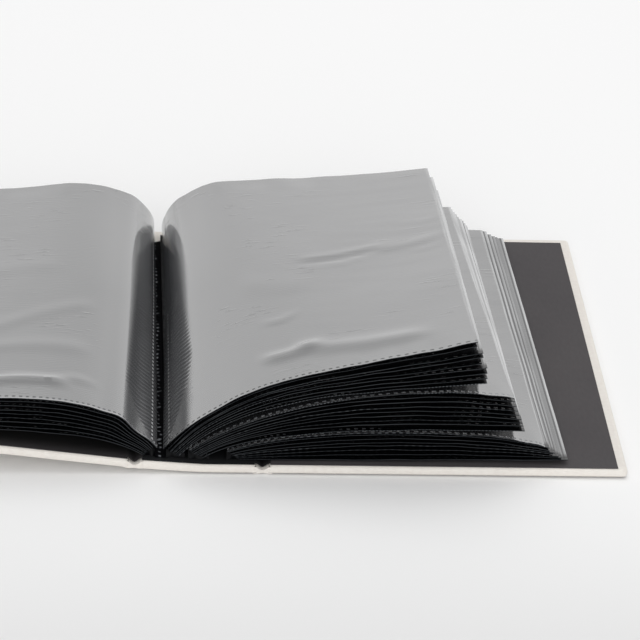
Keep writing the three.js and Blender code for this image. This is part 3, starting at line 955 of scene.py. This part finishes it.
class ALBUM_OT_roots(bpy.types.Operator):
    """Build the crumpled bundle of roots under each section"""
    bl_idname = "album.roots"
    bl_label = "Root bundles"

    def execute(self, context):
        noise.seed_set(SEED)
        made = materials()
        for section in SECTIONS:
            side = section["side"]
            near = -section["roots"][0] - 0.25 * side
            far = -section["roots"][1] + (2.4 if side > 0 else -0.3)
            bm = slab(14, 120)
            for vert in bm.verts:
                u, v, w = vert.co
                y = mix(LEAF_MARGIN + 0.6, LINING_END, v + 0.5)
                crumple = noise.noise_vector(Vector((u * 4, y / 3.5, near + w * 3)))
                loose = 1 - 0.75 * smooth(y, 4, 9)
                x = mix(near, far, u + 0.5) + 0.5 * loose * crumple.x * (u + 0.5)
                roof = mix(ROOT_H - 0.4, 1.6, u + 0.5) + 1.6 * loose * crumple.z
                z = seat(x) - 0.2 + (w + 0.5) * roof
                vert.co = place(x, y + 1.3 * loose * crumple.y, z)
            bundle = finish_mesh(bm, section["name"] + "_root_bundle", [made["roots"]], 80)
            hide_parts(section["name"] + "_roots")
            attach(bundle, "spine")
        near, far = -SECTIONS[0]["roots"][0] + 0.3, -SECTIONS[1]["roots"][0] - 0.3
        bm = slab(16, 260)
        for vert in bm.verts:
            u, v, w = vert.co
            y = mix(LEAF_MARGIN - 0.5, LINING_END - 1, v + 0.5)
            x = mix(near, far, u + 0.5)
            stitch = max(0.0, math.sin(y * FULL_TURN / STITCH_PITCH + u * 4))
            stitch *= math.cos(u * math.pi)
            sag = 0.5 * (1 - 4 * u * u)
            vert.co = place(x, y, seat(x) + 0.5 + w * 0.8 + (0.15 * stitch - sag) * (w + 0.5))
        strip = finish_mesh(bm, "gutter_weld_strip", [made["strip"]], 70)
        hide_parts("gutter_strip")
        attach(strip, "spine")
        return {"FINISHED"}


class ALBUM_OT_stage(bpy.types.Operator):
    """Lay the studio floor and set the lamps, the room's light and the camera"""
    bl_idname = "album.stage"
    bl_label = "Stage"

    def execute(self, context):
        made = materials()
        bm = bmesh.new()
        bmesh.ops.create_grid(bm, x_segments=4, y_segments=4, size=4.0)
        bmesh.ops.translate(bm, vec=(0.0, 0.0, -0.0002), verts=bm.verts)
        floor = finish_mesh(bm, "studio_floor", [made["floor"]])
        world = bpy.data.worlds.new("studio")
        context.scene.world = world
        world.use_nodes = True
        put = node_adder(world.node_tree)
        path = put("LightPath").outputs
        seen = path["Is Camera Ray"]
        for ray in ("Is Glossy Ray", "Is Transmission Ray"):
            seen = put("Math", {0: seen, 1: path[ray]}, operation="MAXIMUM")
        room = put("Background", {0: (0.62, 0.62, 0.62, 1.0), 1: 1.0})
        # the white wall fades a little towards the ceiling, which the films mirror
        way = put("SeparateXYZ", {0: put("TexCoord").outputs["Generated"]}).outputs["Z"]
        wall = put("MapRange", {
            "Value": way, "From Min": 0.4, "From Max": 0.85, "To Min": 1.0, "To Max": 0.7})
        white = put("Background", {0: (1.0, 1.0, 1.0, 1.0), 1: wall})
        both = put("MixShader", {0: seen, 1: room, 2: white})
        put("OutputWorld", {0: both})
        for name, power, spot, aim in (
                ("front_softbox", 7.6, (-0.2, -1.35, 0.4), (-0.05, 0.0, 0.0)),
                ("top_softbox", 6.6, (0.1, 0.35, 1.3), (0.0, 0.0, 0.0))):
            data = bpy.data.lights.new(name, "AREA")
            data.energy, data.size = power, 1.2
            lamp = bpy.data.objects.new(name, data)
            lamp.visible_glossy = False
            lamp.location = spot
            lamp.rotation_euler = (Vector(aim) - Vector(spot)).to_track_quat("-Z", "Y").to_euler()
            context.scene.collection.objects.link(lamp)
        data = bpy.data.cameras.new("photo_view")
        data.sensor_width, data.lens = 36.0, CAMERA_LENS
        camera = bpy.data.objects.new("photo_view", data)
        camera.location = CAMERA_AT
        camera.rotation_euler = [math.radians(angle) for angle in CAMERA_TURN]
        context.scene.collection.objects.link(camera)
        context.scene.camera = camera
        context.scene.view_settings.view_transform = "Standard"
        return {"FINISHED"}


class ALBUM_PT_panel(bpy.types.Panel):
    """Lists the album's pieces and settings"""
    bl_idname = "ALBUM_PT_panel"
    bl_label = "Photo album"
    bl_space_type = "VIEW_3D"
    bl_region_type = "UI"
    bl_category = "Album"

    def draw(self, context):
        for group in ("album_sizes", "album_colours"):
            settings = getattr(context.scene, group)
            for key in settings.__annotations__:
                self.layout.prop(settings, key)
        for operator in OPERATORS:
            self.layout.operator(operator.bl_idname)


OPERATORS = (ALBUM_OT_covers, ALBUM_OT_leaves, ALBUM_OT_roots, ALBUM_OT_stage)
CLASSES = (AlbumSizes, AlbumColours, *OPERATORS, ALBUM_PT_panel)


def register():
    for made in CLASSES:
        bpy.utils.register_class(made)
    bpy.types.Scene.album_sizes = bpy.props.PointerProperty(type=AlbumSizes)
    bpy.types.Scene.album_colours = bpy.props.PointerProperty(type=AlbumColours)


def unregister():
    del bpy.types.Scene.album_sizes
    del bpy.types.Scene.album_colours
    for made in reversed(CLASSES):
        bpy.utils.unregister_class(made)


def main():
    register()
    bpy.ops.album.covers()
    bpy.ops.album.leaves()
    bpy.ops.album.roots()
    bpy.ops.album.stage()


if __name__ == "__main__":
    main()
